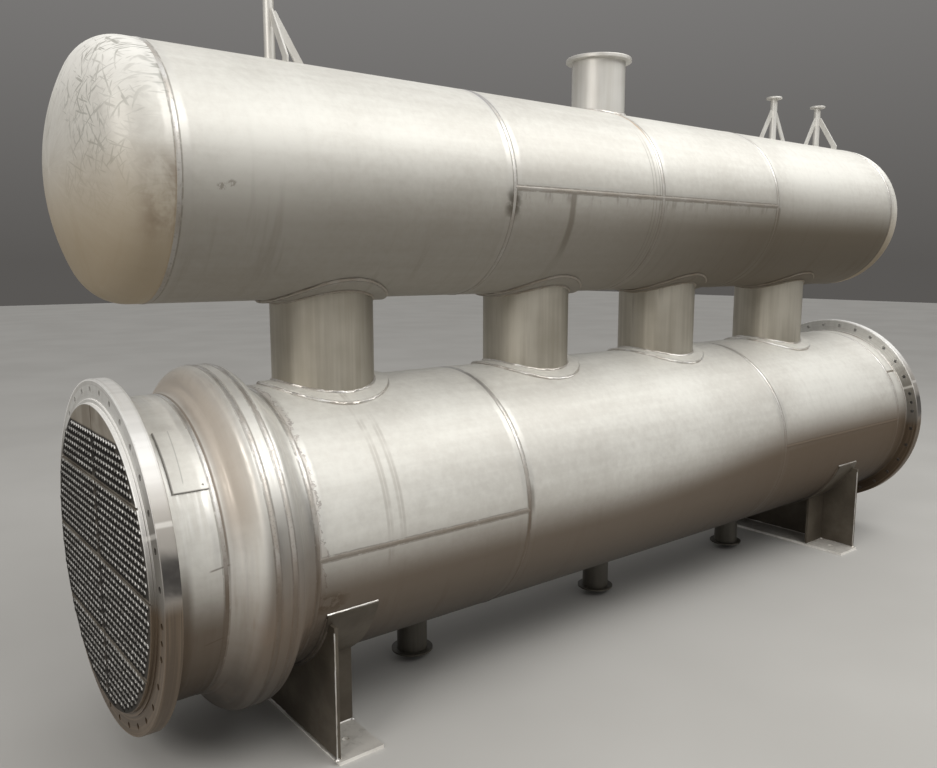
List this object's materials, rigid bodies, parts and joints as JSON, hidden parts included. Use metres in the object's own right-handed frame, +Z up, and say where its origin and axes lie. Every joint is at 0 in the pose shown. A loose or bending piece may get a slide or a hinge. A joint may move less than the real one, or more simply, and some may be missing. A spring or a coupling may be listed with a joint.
{
  "type": "shell and tube heat exchanger",
  "caption": "Horizontal shell and tube heat exchanger on saddles, with drilled tubesheets, a bellows in the shell and a surge drum carried over it on risers.",
  "frame": {"origin": "on the floor, under the middle of the whole length and the shell's axis", "axes": "+X along the shell from the front tubesheet with the bellows to the rear one, +Z up"},
  "size_m": [4.2134, 1.0744, 2.322],
  "materials": {
    "shell_steel": "matt pickled",
    "nozzle_steel": "satin",
    "saddle_steel": "matt pickled",
    "machined_steel": "turned",
    "tube_steel": "drawn"
  },
  "bodies": {
    "root": {"front_tubesheet": "machined_steel", "rear_tubesheet": "machined_steel", "upper_tubes": "tube_steel", "lower_tubes": "tube_steel", "front_shell_stub": "shell_steel", "bellows_front_half": "shell_steel", "bellows_crest_ring": "shell_steel", "bellows_rear_half": "shell_steel", "shell_course_1": "shell_steel", "shell_course_2": "shell_steel", "shell_course_3": "shell_steel", "shell_end_ring": "shell_steel", "shell_pad_1": "shell_steel", "shell_pad_2": "shell_steel", "shell_pad_3": "shell_steel", "shell_pad_4": "shell_steel", "riser_1": "shell_steel", "riser_2": "shell_steel", "riser_3": "shell_steel", "riser_4": "shell_steel", "drum_pad_1": "shell_steel", "drum_pad_2": "shell_steel", "drum_pad_3": "shell_steel", "drum_pad_4": "shell_steel", "drum_front_head": "shell_steel", "drum_course_1": "shell_steel", "drum_course_2": "shell_steel", "drum_course_3": "shell_steel", "drum_course_4": "shell_steel", "drum_rear_head": "shell_steel", "plate_bracket": "shell_steel", "top_nozzle": "nozzle_steel", "vent_nozzle_1": "nozzle_steel", "vent_nozzle_2": "nozzle_steel", "vent_nozzle_3": "nozzle_steel", "drain_nozzle_1": "nozzle_steel", "drain_nozzle_2": "nozzle_steel", "drain_nozzle_3": "nozzle_steel", "front_wear_pad": "saddle_steel", "front_saddle_web": "saddle_steel", "front_saddle_ribs": "saddle_steel", "front_saddle_base": "saddle_steel", "rear_wear_pad": "saddle_steel", "rear_saddle_web": "saddle_steel", "rear_saddle_ribs": "saddle_steel", "rear_saddle_base": "saddle_steel"}
  },
  "joints": []
}
